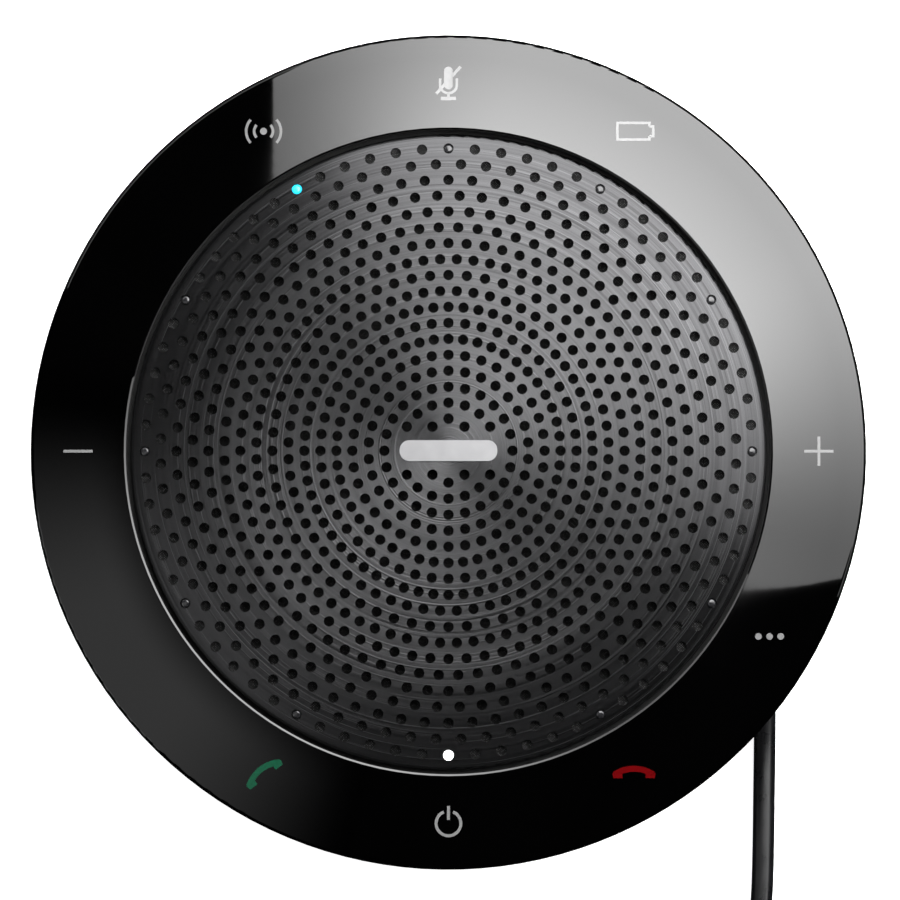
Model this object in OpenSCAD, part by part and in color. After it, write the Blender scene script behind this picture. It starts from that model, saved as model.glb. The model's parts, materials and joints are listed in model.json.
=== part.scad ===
// Round conference speakerphone: a seamless glossy control ring around a raised,
// perforated grille, on a bowl-shaped housing with a cable groove round its waist.
// Origin: centre of the rest plane. +Z up, +Y towards the mute key, +X towards
// the volume up key. All dimensions are in millimetres.

/* [Case] */
// Outer diameter of the control ring, the widest part
case_d = 120; // [119:0.5:124]
// Height from the table to the top of the badge
case_h = 33; // [33:0.5:35]
// Wall thickness of the moulded housing
wall = 2; // [1.8:0.1:2.2]
// How far the rubber foot stands below the base cover
foot_gap = 1; // [0.8:0.1:1.4]

/* [Grille] */
// Outer diameter of the perforated grille
grille_d = 91.4; // [91.2:0.1:92]
// Thickness of the grille sheet
grille_t = 0.8; // [0.6:0.1:1]
// Diameter of one sound hole
hole_d = 1.5; // [1.2:0.1:1.6]
// Distance from one ring of holes to the next
hole_pitch = 2.295; // [2.27:0.005:2.3]
// Number of the outermost ring of holes, counted from the centre
hole_rings = 19; // [15:1:19]
// Length of the blank badge
badge_l = 14; // [10:0.5:14]
// Width of the blank badge
badge_w = 3; // [2:0.5:3]

/* [Cable groove and base] */
// Diameter of the core that the cable is wound on
core_d = 86; // [85.8:0.1:86.2]
// Height of the cable groove
groove_h = 10.5; // [10:0.25:11]
// Diameter of the base flange below the groove
base_d = 102; // [98:1:106]

/* [Keys and loudspeaker] */
// How far a key travels
key_travel = 0.25; // [0.15:0.05:0.3]
// How far the cone moves out or in from rest
cone_travel = 1; // [0.5:0.1:1.2]

/* [Cord] */
// Diameter of the cord
cord_d = 3.2; // [2.8:0.1:3.2]
// Length of the tapered strain relief
relief_l = 14; // [10:1:14]

/* [Hidden] */
KEYS = [
    ["key_mute", 90],
    ["key_battery", 60],
    ["key_volume_up", 0],
    ["key_shortcut", 330],
    ["key_end_call", 300],
    ["key_power", 270],
    ["key_answer", 240],
    ["key_volume_down", 180],
    ["key_wireless", 120]
];

// Smoothness of turned parts, of small round parts and of very large arcs
fine_fn = 180;
small_fn = 40;
arc_fn = 1440;
// Extra length that lets one solid cut cleanly through another
cut = 0.5;
// Radial play of a screw in its hole
screw_play = 0.03;

// Heights of the case, from the table up
case_r = case_d / 2;
base_t = 2.2;
base_in_z = foot_gap + base_t;
groove_z0 = base_in_z + 1.1;
groove_z1 = groove_z0 + groove_h;
deck_z = groove_z1 + wall;
rim_z = case_h - 5.5;

// Bowl of the housing: a quarter round from the deck up to the rim
rim_step = 0.4;
bowl_r = rim_z - groove_z1;
bowl_cr = case_r - rim_step - bowl_r;
core_r = core_d / 2;
deck_in_r = core_r - 6.9;

// Control ring: a shallow crown with a rounded outer rim. Its turned profile starts
// and ends at seam_a.
grille_r = grille_d / 2;
grille_gap = 0.6;
ring_in_r = grille_r + grille_gap;
ring_chamfer_w = 0.28;
ring_chamfer_h = 0.16;
ring_skin = 1.8;
seam_a = 150;
ring_rim_r = 0.8;
crown_r = 110;
crown_at_r = case_r - 9;
crown_z = case_h - 2;
rim_arc_z = crown_z - crown_r
    + sqrt(pow(crown_r - ring_rim_r, 2) - pow(case_r - ring_rim_r - crown_at_r, 2));
ring_under_z = crown_z - ring_skin;
ledge_h = 0.7;
ledge_w = 1.2;

// Grille: a flat sheet, bent down into a short skirt at its edge
badge_t = 0.3;
grille_z = case_h - badge_t;
skirt_round = 0.5;

// Places of the keys, lights and screws
key_r = (ring_in_r + case_r) / 2;
ring_boss_r = key_r - 2.65;
light_count = 12;
light_step = 360 / light_count;
wireless_light_a = 120;
power_light_a = 270;
pipe_r = hole_d / 2 - 0.12;
screw_count = 6;
screw_step = 360 / screw_count;
post_at_r = core_r - 4.4;
post_r = 2.6;
boss_r = 2.3;

// Boards and baffle
baffle_z1 = rim_z - 3.1;
baffle_t = 2;
baffle_z0 = baffle_z1 - baffle_t;
baffle_r = case_r - 4.3;
board_lift = 0.5;
key_board_t = 1.2;
key_board_z0 = baffle_z1 + board_lift;
key_board_z1 = key_board_z0 + key_board_t;
key_board_in_r = 41.6;
key_board_r = case_r - 3.4;
led_h = 0.8;
led_side = 1.6;
switch_h = 1.3;
stem_r = 0.9;
stem_play = 0.08;
main_board_z0 = base_in_z + 2.8;
main_board_t = 1.6;
main_board_z1 = main_board_z0 + main_board_t;
main_board_r = 38.4;
battery_x = -17;
battery_l = 30;
battery_w = 43;
battery_h = 5.6;

// Loudspeaker, hung from the baffle
driver_cut_r = 29.6;
driver_r = 33;
driver_flange_t = 1.4;
driver_ear_at = 34.2;
driver_ear_r = 2.8;
flange_z = baffle_z1 + driver_flange_t;
top_plate_z1 = baffle_z1 - 5.1;
top_plate_t = 2;
magnet_z1 = top_plate_z1 - top_plate_t;
magnet_t = 4.5;
yoke_z1 = magnet_z1 - magnet_t;
yoke_t = 2;
pole_r = 7.3;
gap_r = 9;
coil_in_r = 7.85;
coil_out_r = 8.6;
former_t = 0.25;
cone_in_r = 8.15;
cone_out_r = 24.1;
cone_t = 0.45;
cone_z0 = baffle_z1 - 2.8 + cone_travel;
cone_rise = 3.9;
roll_r = 26.9;
roll_rad = 2.4;
roll_t = 0.4;

// Headset socket in the bowl on the left side
jack_z = rim_z - 5.5;
jack_bore_r = 1.8;
jack_bore_l = 12.5;
jack_nose_r = 2.7;
jack_face_x = case_r - 2.6;

// Cord outlet: an elbow through the core wall on the right side
cord_r = cord_d / 2;
outlet_x = 45.5;
outlet_z = 9.5;
elbow_bend = 6;
elbow_r = 2.5;
elbow_y = 8;
relief_end_r = 1.9;

// Coil of stored cord: four turns on the table and three nested on them
coil_x = 22.4;
coil_y = -91;
coil_mid_r = 17.6;
coil_low_half = 2 * cord_d;
coil_high_half = 1.5 * cord_d;
coil_high_z = cord_r + cord_d * sin(60);
coil_top_z = coil_high_z + cord_r;
tie_angle = 160;
tie_w = 9;
tie_t = 0.6;

// Plug, lying flat on the table and pointing left
plug_x = -18;
plug_y = -113;
plug_w = 14;
plug_h = 7.4;
plug_l = 20;
plug_neck_l = 7;
plug_neck_r = 2.3;
shell_w = 12;
shell_h = 4.5;
shell_l = 14;
shell_t = 0.3;

// Route of the cord from the strain relief to the coil, chosen by hand
LEAD_ROUTE = [
    [45.5, -6, 9.5],
    [45.5, -12, 8.6],
    [45.7, -18, 6.9],
    [46, -24, 5.9],
    [46.3, -30, 4.4],
    [46.4, -36, 2.6],
    [46.4, -42, 1.7],
    [46.3, -49, 1.6],
    [46.2, -56, 1.6],
    [46, -63, 1.6],
    [45.5, -70, 1.6],
    [44.9, -76, 1.6],
    [44.7, -81, 1.6]
];
// Route of the cord from the coil to the plug, chosen by hand
TAIL_ROUTE = [
    [20, -111.8, 4.9],
    [15, -112, 5],
    [9, -112.3, 4.4],
    [3, -112.7, 3.4],
    [-2, -113, 3],
    [-6, -113, 3.4],
    [-9, -113, 3.7],
    [-11, -113, 3.7]
];

// Radius of a ring of holes
function ring_radius(k) = k * hole_pitch;
light_r = ring_radius(19);

// How many holes each ring has, and the angle of its first hole
function ring_holes(k) = k < 7 ? 6 * k : k < 9 ? 48 : k < 12 ? 60 : 72;
function ring_phase(k) = 90 + (k >= 10 && k % 2 == 0 ? 180 / ring_holes(k) : 0);

// Copies of a child at equal angles round Z
module around(count, at_r, first = 0) {
    for (i = [0 : count - 1])
        rotate([0, 0, first + i * 360 / count]) translate([at_r, 0, 0]) children();
}

// Ring with a rectangular section
module washer(out_r, in_r, z0, z1) {
    translate([0, 0, z0]) difference() {
        cylinder(r = out_r, h = z1 - z0, $fn = fine_fn);
        translate([0, 0, -cut]) cylinder(r = in_r, h = z1 - z0 + 2 * cut, $fn = fine_fn);
    }
}

// Block centred in X and Y, standing on z0
module block(x, y, z0, z1) {
    translate([-x / 2, -y / 2, z0]) cube([x, y, z1 - z0]);
}

// Pan-head screw with a cross recess. The underside of the head is at z = 0 and
// the shaft points along +Z.
module screw(head_r, head_h, shaft_r, shaft_l) {
    difference() {
        translate([0, 0, -head_h]) cylinder(r = head_r, h = head_h, $fn = small_fn);
        for (a = [0, 90])
            rotate([0, 0, a]) block(head_r * 1.3, 0.5, -head_h - cut, -head_h / 2);
    }
    cylinder(r = shaft_r, h = shaft_l, $fn = small_fn);
}

// Flat outline with round corners, from circles and squares
module round_rect(x, y, r) {
    square([x - 2 * r, y], center = true);
    square([x, y - 2 * r], center = true);
    for (sx = [-1, 1], sy = [-1, 1])
        translate([sx * (x / 2 - r), sy * (y / 2 - r)]) circle(r = r, $fn = small_fn);
}

// ---------- Outside of the top ----------

module control_ring() {
    color([0.02, 0.02, 0.02]) difference() {
        union() {
            rotate([0, 0, seam_a]) rotate_extrude($fn = fine_fn) difference() {
                intersection() {
                    translate([crown_at_r, crown_z - crown_r]) circle(r = crown_r, $fn = arc_fn);
                    translate([ring_in_r, rim_z]) square([case_r - ring_in_r, case_h - rim_z]);
                }
                ring_inner_chamfer();
                ring_outer_corner();
                translate([ring_in_r + 1.6, rim_z - cut])
                    square([case_r - ring_in_r - 3.4, ring_under_z - rim_z + cut]);
            }
            washer(ring_in_r + cut, ring_in_r - ledge_w, rim_z, rim_z + ledge_h);
            around(screw_count, ring_boss_r, screw_step / 4)
                translate([0, 0, baffle_z1])
                    cylinder(r = boss_r, h = ring_under_z - baffle_z1 + cut, $fn = small_fn);
        }
        around(screw_count, ring_boss_r, screw_step / 4)
            translate([0, 0, baffle_z1 - cut])
                cylinder(r = 1 + screw_play, h = ring_under_z - baffle_z1, $fn = small_fn);
    }
}

// Lit edge between the ring and the gap round the grille
module ring_inner_chamfer() {
    edge_r = ring_in_r + ring_chamfer_w;
    edge_z = crown_z - crown_r + sqrt(pow(crown_r, 2) - pow(crown_at_r - edge_r, 2));
    reach = 2;
    polygon([
        [edge_r, edge_z],
        [edge_r - reach * ring_chamfer_w, edge_z - reach * ring_chamfer_h],
        [edge_r - reach * ring_chamfer_w, edge_z + 1]
    ]);
}

// Waste outside the rounded outer rim
module ring_outer_corner() {
    difference() {
        translate([case_r - ring_rim_r, rim_arc_z]) square([ring_rim_r + cut, case_h]);
        translate([case_r - ring_rim_r, rim_arc_z]) circle(r = ring_rim_r, $fn = fine_fn);
    }
}

module grille() {
    skirt_z = rim_z + ledge_h;
    color([0.3, 0.3, 0.31]) difference() {
        rotate_extrude($fn = fine_fn) difference() {
            translate([0, skirt_z]) square([grille_r, grille_z - skirt_z]);
            translate([0, skirt_z - cut])
                square([grille_r - grille_t, grille_z - grille_t - skirt_z + cut]);
            grille_outer_corner();
        }
        sound_holes();
    }
}

// Waste outside the bend between the sheet and the skirt
module grille_outer_corner() {
    difference() {
        translate([grille_r - skirt_round, grille_z - skirt_round]) square(skirt_round + cut);
        translate([grille_r - skirt_round, grille_z - skirt_round])
            circle(r = skirt_round, $fn = fine_fn);
    }
}

// Rings 3 and outwards are full circles of holes. Ring 2 is six holes that frame
// the badge, and ring 3 leaves out the four at the ends of the badge.
module sound_holes() {
    for (k = [3 : hole_rings], i = [0 : ring_holes(k) - 1]) {
        a = ring_phase(k) + i * 360 / ring_holes(k);
        if (k > 3 || abs(sin(a)) > 0.2)
            sound_hole(k, a);
    }
    near_a = atan(1.5);
    for (a = [90, 270])
        sound_hole(2, a);
    for (a = [near_a, 180 - near_a, 180 + near_a, -near_a])
        sound_hole(sqrt(3.25), a);
}

// One punched hole in ring k at angle a
module sound_hole(k, a) {
    translate([ring_radius(k) * cos(a), ring_radius(k) * sin(a), grille_z - 2 * grille_t])
        cylinder(d = hole_d, h = 3 * grille_t, $fn = 32);
}

module badge() {
    color([0.8, 0.8, 0.82]) translate([0, 0, grille_z])
        linear_extrude(badge_t) round_rect(badge_l, badge_w, badge_w / 2 - 0.1);
}

// Woven cloth held against the back of the grille, with holes for the light pipes
module acoustic_mesh() {
    cloth_r = grille_r - grille_t - 0.2;
    cloth_z = grille_z - grille_t - 0.1;
    color([0.1, 0.1, 0.1]) difference() {
        translate([0, 0, cloth_z - 0.3]) cylinder(r = cloth_r, h = 0.3, $fn = fine_fn);
        around(light_count, light_r)
            translate([0, 0, rim_z]) cylinder(r = pipe_r + 0.1, h = case_h, $fn = 32);
    }
}

// Clear rod from a light on the key board up to its hole in the grille
module light_pipe() {
    foot_z = key_board_z1 + led_h + 0.1;
    tip_z = grille_z - pipe_r - 0.1;
    translate([0, 0, foot_z]) cylinder(r = pipe_r, h = tip_z - foot_z, $fn = small_fn);
    translate([0, 0, foot_z]) cylinder(r = 0.8, h = 1, $fn = small_fn);
    translate([0, 0, tip_z]) intersection() {
        sphere(r = pipe_r, $fn = small_fn);
        block(2 * pipe_r + cut, 2 * pipe_r + cut, 0, pipe_r + cut);
    }
}

module light_pipe_at(a) {
    rotate([0, 0, a]) translate([light_r, 0, 0]) light_pipe();
}

module light_pipes() {
    color([0.7, 0.72, 0.74])
        for (i = [0 : light_count - 1])
            if (i * light_step != wireless_light_a && i * light_step != power_light_a)
                light_pipe_at(i * light_step);
}

module wireless_light_pipe() {
    color([0.1, 0.85, 0.9]) light_pipe_at(wireless_light_a);
}

module power_light_pipe() {
    color([0.95, 0.97, 1]) light_pipe_at(power_light_a);
}

// ---------- Housing and base ----------

module housing() {
    color([0.07, 0.07, 0.075]) difference() {
        union() {
            rotate_extrude($fn = fine_fn) {
                difference() {
                    intersection() {
                        translate([bowl_cr, rim_z]) circle(r = bowl_r, $fn = fine_fn);
                        translate([bowl_cr, groove_z1]) square(bowl_r);
                    }
                    translate([bowl_cr, rim_z]) circle(r = bowl_r - wall, $fn = fine_fn);
                }
                translate([deck_in_r, groove_z1]) square([bowl_cr - deck_in_r, wall]);
                translate([core_r - wall, groove_z0]) square([wall, groove_h]);
            }
            around(screw_count, post_at_r)
                translate([0, 0, base_in_z + 1.4])
                    cylinder(r = post_r, h = groove_z1 - base_in_z - 1.4 + cut, $fn = small_fn);
        }
        around(screw_count, post_at_r)
            translate([0, 0, base_in_z])
                cylinder(r = 1 + screw_play, h = 9, $fn = small_fn);
        around(screw_count, post_at_r, screw_step / 2)
            translate([0, 0, groove_z1 - cut]) cylinder(r = 1.15, h = wall + 2 * cut, $fn = small_fn);
        jack_opening();
        outlet_slot(0);
    }
}

// Block through the core wall where the cord comes out, smaller all round by gap
module outlet_slot(gap) {
    translate([core_r - 9, elbow_y + 1 + gap, groove_z0 + 1.2 + gap])
        cube([10, 9.5 - 2 * gap, 8 - 2 * gap]);
}

// Hole for the socket, with a flat round seat in the slanting wall
module jack_opening() {
    translate([-jack_face_x, 0, jack_z]) rotate([0, 90, 0])
        cylinder(r = jack_nose_r + 0.15, h = 10, center = true, $fn = small_fn);
    translate([-jack_face_x, 0, jack_z]) rotate([0, -90, 0])
        cylinder(r = jack_nose_r + 1.1, h = 6, $fn = small_fn);
}

module base_cover() {
    edge_round = 1.1;
    base_r = base_d / 2;
    color([0.06, 0.06, 0.065]) difference() {
        union() {
            rotate_extrude($fn = fine_fn) difference() {
                union() {
                    translate([0, foot_gap]) square([base_r - edge_round, base_t]);
                    translate([core_r - wall - 0.3, foot_gap])
                        square([base_r - edge_round - core_r + wall + 0.3, groove_z0 - foot_gap]);
                    translate([base_r - edge_round, foot_gap + edge_round])
                        square([edge_round, groove_z0 - foot_gap - 2 * edge_round]);
                    for (z = [foot_gap + edge_round, groove_z0 - edge_round])
                        translate([base_r - edge_round, z])
                            circle(r = edge_round, $fn = small_fn);
                    translate([core_r - wall - 1.8, base_in_z - cut]) square([1.5, 2.8 + cut]);
                }
                translate([post_at_r - 3.3, foot_gap - cut]) square([6.6, 0.8 + cut]);
            }
            around(screw_count, post_at_r) translate([0, 0, foot_gap + 1])
                cylinder(r = 2.4, h = base_in_z + 0.4 - foot_gap, $fn = small_fn);
            for (p = BOARD_SCREWS)
                translate([p[0], p[1], base_in_z - cut])
                    cylinder(r = 2, h = main_board_z0 - base_in_z + cut, $fn = small_fn);
            battery_tray();
        }
        // Room for the posts of the housing where the spigot passes them
        around(screw_count, post_at_r) translate([0, 0, base_in_z + 1.4])
            cylinder(r = post_r + 0.3, h = 10, $fn = small_fn);
        around(screw_count, post_at_r) {
            translate([0, 0, foot_gap]) cylinder(r = 1.15, h = 10, $fn = small_fn);
            translate([0, 0, foot_gap - cut]) cylinder(r = 2, h = 2.2 + cut, $fn = small_fn);
        }
        for (p = BOARD_SCREWS)
            translate([p[0], p[1], base_in_z - 0.6])
                cylinder(r = 0.8 + screw_play, h = 10, $fn = small_fn);
        // Way in for the cord's inner end, through the spigot
        translate([core_r - 6, elbow_y + 0.5, groove_z0 + 0.2]) cube([8, 10.5, 10]);
    }
}

// Places of the main board's four screws
BOARD_SCREWS = [[5, 32], [5, -32], [32, 8], [30, -15]];

// Low ribs that hold the battery in place
module battery_tray() {
    for (s = [-1, 1]) {
        translate([battery_x, s * (battery_w / 2 + 0.7), 0])
            block(20, 1, base_in_z - cut, base_in_z + 3);
        translate([battery_x + s * (battery_l / 2 + 0.7), 0, 0])
            block(1, 20, base_in_z - cut, base_in_z + 3);
    }
}

module foot_ring() {
    color([0.12, 0.12, 0.12]) rotate_extrude($fn = fine_fn) translate([post_at_r, 0]) polygon([
        [-2.7, 0], [2.7, 0], [3.2, 0.5], [3.2, foot_gap + 0.8], [-3.2, foot_gap + 0.8], [-3.2, 0.5]
    ]);
}

// Frame that carries the loudspeaker, the key board and the ring
module baffle() {
    color([0.16, 0.16, 0.17]) difference() {
        union() {
            washer(baffle_r, driver_cut_r, baffle_z0, baffle_z1);
            washer(47.5, 46.5, baffle_z1 - cut, key_board_z0);
            washer(baffle_r, baffle_r - 1, baffle_z1 - cut, key_board_z0);
            around(screw_count, post_at_r, screw_step / 2)
                translate([0, 0, deck_z])
                    cylinder(r = boss_r, h = baffle_z0 - deck_z + cut, $fn = small_fn);
        }
        around(screw_count, post_at_r, screw_step / 2)
            translate([0, 0, deck_z - cut])
                cylinder(r = 1 + screw_play, h = baffle_z0 - deck_z + cut, $fn = small_fn);
        around(screw_count, ring_boss_r, screw_step / 4)
            translate([0, 0, baffle_z0 - cut]) cylinder(r = 1.15, h = 4, $fn = small_fn);
        around(4, driver_ear_at, 45)
            translate([0, 0, baffle_z0 - cut]) cylinder(r = 0.8 + screw_play, h = 4, $fn = small_fn);
        // Slot for the ribbon and notch for the headset socket
        translate([35, 0, 0]) block(1.4, 12, baffle_z0 - cut, baffle_z1 + cut);
        translate([-52, 0, 0]) block(17, 7.2, baffle_z0 - cut, key_board_z0 + cut);
    }
}

// ---------- Screws ----------

module case_screws() {
    color([0.6, 0.6, 0.62]) around(screw_count, post_at_r)
        translate([0, 0, foot_gap + 2.2]) screw(1.8, 1.3, 1, 8);
}

module frame_screws() {
    color([0.6, 0.6, 0.62]) around(screw_count, post_at_r, screw_step / 2)
        translate([0, 0, groove_z1]) screw(1.9, 1.3, 1, 6);
}

module ring_screws() {
    color([0.6, 0.6, 0.62]) around(screw_count, ring_boss_r, screw_step / 4)
        translate([0, 0, baffle_z0]) screw(1.9, 1.3, 1, 5);
}

module driver_screws() {
    color([0.6, 0.6, 0.62]) around(4, driver_ear_at, 45)
        translate([0, 0, flange_z]) mirror([0, 0, 1]) screw(1.6, 1, 0.8, 3);
}

module board_screws() {
    color([0.6, 0.6, 0.62]) for (p = BOARD_SCREWS)
        translate([p[0], p[1], main_board_z1]) mirror([0, 0, 1]) screw(1.5, 0.9, 0.8, 4.4);
}

// ---------- Loudspeaker ----------

module driver_basket() {
    floor_z1 = top_plate_z1 + 1;
    color([0.35, 0.35, 0.37]) difference() {
        union() {
            rotate_extrude($fn = fine_fn) {
                translate([27.6, baffle_z1]) square([driver_r - 27.6, driver_flange_t]);
                polygon([
                    [19, top_plate_z1], [29.2, baffle_z1], [29.2, flange_z],
                    [27.6, flange_z], [18, floor_z1 + 0.3], [18, top_plate_z1]
                ]);
                translate([9.6, top_plate_z1]) square([9, 1]);
                translate([18, floor_z1 - 0.2]) square([2.8, 1.1]);
            }
            around(4, driver_ear_at, 45)
                translate([0, 0, baffle_z1])
                    cylinder(r = driver_ear_r, h = driver_flange_t, $fn = small_fn);
        }
        around(4, driver_ear_at, 45)
            translate([0, 0, baffle_z1 - cut]) cylinder(r = 0.9, h = 3, $fn = small_fn);
        around(screw_count, 24.5)
            block(7, 8, top_plate_z1 + 2.6, baffle_z1 - 0.4);
    }
}

module driver_top_plate() {
    color([0.62, 0.62, 0.64]) washer(17, gap_r, magnet_z1, top_plate_z1);
}

module driver_magnet() {
    color([0.2, 0.2, 0.21]) washer(18, 10, yoke_z1, magnet_z1);
}

module driver_yoke() {
    color([0.62, 0.62, 0.64]) {
        translate([0, 0, yoke_z1 - yoke_t]) cylinder(r = 17, h = yoke_t, $fn = fine_fn);
        translate([0, 0, yoke_z1 - cut])
            cylinder(r = pole_r, h = top_plate_z1 - yoke_z1 + cut, $fn = fine_fn);
    }
}

module voice_coil() {
    wire_z0 = magnet_z1 - 1;
    color([0.72, 0.4, 0.2]) {
        washer(coil_in_r + former_t, coil_in_r, wire_z0 - 1, cone_z0 + cone_t);
        washer(coil_out_r, coil_in_r + former_t / 2, wire_z0, wire_z0 + 4);
    }
}

// Corrugated cloth ring that centres the coil
module spider() {
    spider_z = top_plate_z1 + 1.9;
    color([0.75, 0.6, 0.3]) rotate_extrude($fn = fine_fn) {
        translate([8.9, spider_z]) square([1.1, 0.3]);
        translate([18.1, spider_z]) square([0.9, 0.3]);
        for (r = [10.9 : 1.8 : 18.1])
            translate([r, spider_z]) difference() {
                circle(r = 0.95, $fn = small_fn);
                circle(r = 0.7, $fn = small_fn);
                translate([-1, -1.2]) square([2, 1.2]);
            }
    }
}

module cone() {
    color([0.14, 0.14, 0.15]) rotate_extrude($fn = fine_fn) polygon([
        [cone_in_r, cone_z0],
        [cone_out_r, cone_z0 + cone_rise],
        [cone_out_r, cone_z0 + cone_rise + cone_t],
        [cone_in_r, cone_z0 + cone_t]
    ]);
}

module dust_cap() {
    cap_r = 17;
    cap_z = cone_z0 + 2.9 - cap_r;
    color([0.1, 0.1, 0.11]) rotate_extrude($fn = fine_fn) intersection() {
        difference() {
            translate([0, cap_z]) circle(r = cap_r, $fn = fine_fn);
            translate([0, cap_z]) circle(r = cap_r - 0.35, $fn = fine_fn);
        }
        translate([0, cone_z0 + 0.6]) square([8.5, 5]);
    }
}

module surround() {
    color([0.09, 0.09, 0.09]) rotate_extrude($fn = fine_fn) {
        translate([roll_r, flange_z]) difference() {
            circle(r = roll_rad, $fn = fine_fn);
            circle(r = roll_rad - roll_t, $fn = fine_fn);
            translate([-3, -3]) square([6, 3]);
        }
        translate([roll_r + roll_rad - roll_t, flange_z]) square([1.3, roll_t]);
    }
}

module driver_gasket() {
    color([0.13, 0.13, 0.13]) washer(31.1, 30.4, flange_z, flange_z + 1.2);
}

// ---------- Microphone ----------

mic_at_r = 38.3;

module mic_boot() {
    color([0.1, 0.1, 0.1]) rotate([0, 0, 270]) translate([mic_at_r, 0, baffle_z1]) difference() {
        cylinder(r = 2.8, h = 5, $fn = small_fn);
        translate([0, 0, 3.2]) cylinder(r = 2.05, h = 2, $fn = small_fn);
    }
}

module mic_capsule() {
    color([0.8, 0.78, 0.7]) rotate([0, 0, 270]) translate([mic_at_r, 0, baffle_z1 + 3.2])
        difference() {
            cylinder(r = 2, h = 1.5, $fn = small_fn);
            translate([0, 0, 1]) cylinder(r = 0.4, h = 1, $fn = small_fn);
        }
}

// ---------- Keys ----------

module key_board() {
    color([0.05, 0.3, 0.16]) difference() {
        washer(key_board_r, key_board_in_r, key_board_z0, key_board_z1);
        around(screw_count, ring_boss_r, screw_step / 4)
            translate([0, 0, key_board_z0 - cut])
                cylinder(r = boss_r + 0.3, h = 3, $fn = small_fn);
    }
}

module switch_bodies() {
    color([0.25, 0.25, 0.26]) for (k = KEYS)
        rotate([0, 0, k[1]]) translate([key_r, 0, 0]) difference() {
            block(3.4, 4.6, key_board_z1, key_board_z1 + switch_h);
            translate([0, 0, key_board_z1 + 0.4])
                cylinder(r = stem_r + stem_play, h = 3, $fn = small_fn);
        }
}

// Pad under the ring's skin with the switch stem below it
module key_plunger(name) {
    a = KEYS[search([name], KEYS)[0]][1];
    pad_z = ring_under_z - 0.55;
    stem_z = key_board_z1 + 0.5 + key_travel;
    color([0.85, 0.85, 0.83]) rotate([0, 0, a]) translate([key_r, 0, 0]) {
        translate([0, 0, pad_z]) cylinder(r = 2.4, h = 0.5, $fn = small_fn);
        translate([0, 0, stem_z]) cylinder(r = stem_r, h = pad_z - stem_z + 0.2, $fn = small_fn);
    }
}

module status_leds() {
    color([0.9, 0.9, 0.8]) around(light_count, light_r)
        block(led_side, led_side, key_board_z1, key_board_z1 + led_h);
}

// ---------- Electronics ----------

// Flat cable from the key board through the baffle to the main board
module key_ribbon() {
    ribbon_t = 0.2;
    ribbon_x = 34.9;
    color([0.85, 0.5, 0.12]) translate([0, 5, 0]) rotate([90, 0, 0]) linear_extrude(10) polygon([
        [44, key_board_z0],
        [ribbon_x, key_board_z0],
        [ribbon_x, main_board_z1 + 1.6],
        [ribbon_x + ribbon_t, main_board_z1 + 1.6],
        [ribbon_x + ribbon_t, key_board_z0 - ribbon_t],
        [44, key_board_z0 - ribbon_t]
    ]);
}

module main_board() {
    color([0.04, 0.26, 0.15]) difference() {
        translate([0, 0, main_board_z0]) cylinder(r = main_board_r, h = main_board_t, $fn = fine_fn);
        translate([-40, -40, 0]) cube([41, 80, 20]);
        around(screw_count, post_at_r)
            cylinder(r = post_r + 0.5, h = 20, $fn = small_fn);
        for (p = BOARD_SCREWS)
            translate([p[0], p[1], 0]) cylinder(r = 0.95, h = 20, $fn = small_fn);
    }
}

// Small rectangular part on top of the main board
module on_board(x, y, w, d, h) {
    translate([x, y, 0]) block(w, d, main_board_z1, main_board_z1 + h);
}

module board_chips() {
    color([0.13, 0.13, 0.14]) {
        on_board(11, -12, 9, 9, 1.2);
        on_board(22, -22, 6, 6, 1);
        on_board(11, -25, 5, 4, 1);
        on_board(30.5, -5.5, 4, 5, 1);
        for (i = [0 : 5]) on_board(5.5 + 2.2 * i, -3, 1, 1.8, 0.7);
        for (i = [0 : 3]) on_board(18, 30 - 2.4 * i, 2, 1.2, 0.8);
    }
}

module shield_can() {
    color([0.75, 0.75, 0.77]) difference() {
        on_board(14, 12, 14, 12, 2.2);
        translate([14, 12, 0]) block(13.4, 11.4, main_board_z1 - cut, main_board_z1 + 1.9);
    }
}

module board_sockets() {
    color([0.9, 0.88, 0.8]) {
        on_board(34.6, 0, 2.4, 11, 1.6);
        on_board(33, 14, 4, 5, 3.3);
        on_board(5, 3, 3, 5, 1.8);
        on_board(22.5, 0, 3, 6, 1.6);
    }
}

module battery_pack() {
    color([0.2, 0.35, 0.6]) translate([battery_x, 0, base_in_z])
        linear_extrude(battery_h) round_rect(battery_l, battery_w, 2);
}

// Two wires from the battery's edge to its socket
module battery_leads() {
    battery_edge = battery_x + battery_l / 2;
    color([0.75, 0.12, 0.1]) for (dy = [-0.8, 0.8])
        translate([battery_edge, 3 + dy, main_board_z1 + 0.6]) rotate([0, 90, 0])
            cylinder(r = 0.5, h = 3.5 - battery_edge, $fn = small_fn);
}

// Two wires from the board up to the tabs under the loudspeaker's frame
module speaker_leads() {
    color([0.8, 0.1, 0.1]) for (s = [-1, 1])
        translate([22.5, s * 1.5, main_board_z1 + 1.6])
            cylinder(r = 0.5, h = top_plate_z1 + 1.4 - main_board_z1 - 1.6, $fn = small_fn);
}

module headset_jack() {
    body_l = 9;
    nose_l = jack_face_x - 53;
    color([0.08, 0.08, 0.08]) difference() {
        union() {
            translate([-53, -3.2, jack_z - 2.6]) cube([body_l, 6.4, 5]);
            translate([-53 + cut, 0, jack_z]) rotate([0, -90, 0])
                cylinder(r = jack_nose_r - 0.1, h = nose_l + cut, $fn = small_fn);
        }
        translate([-jack_face_x - cut, 0, jack_z]) rotate([0, 90, 0])
            cylinder(r = jack_bore_r, h = jack_bore_l + cut, $fn = small_fn);
    }
}

// ---------- Cord ----------

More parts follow.
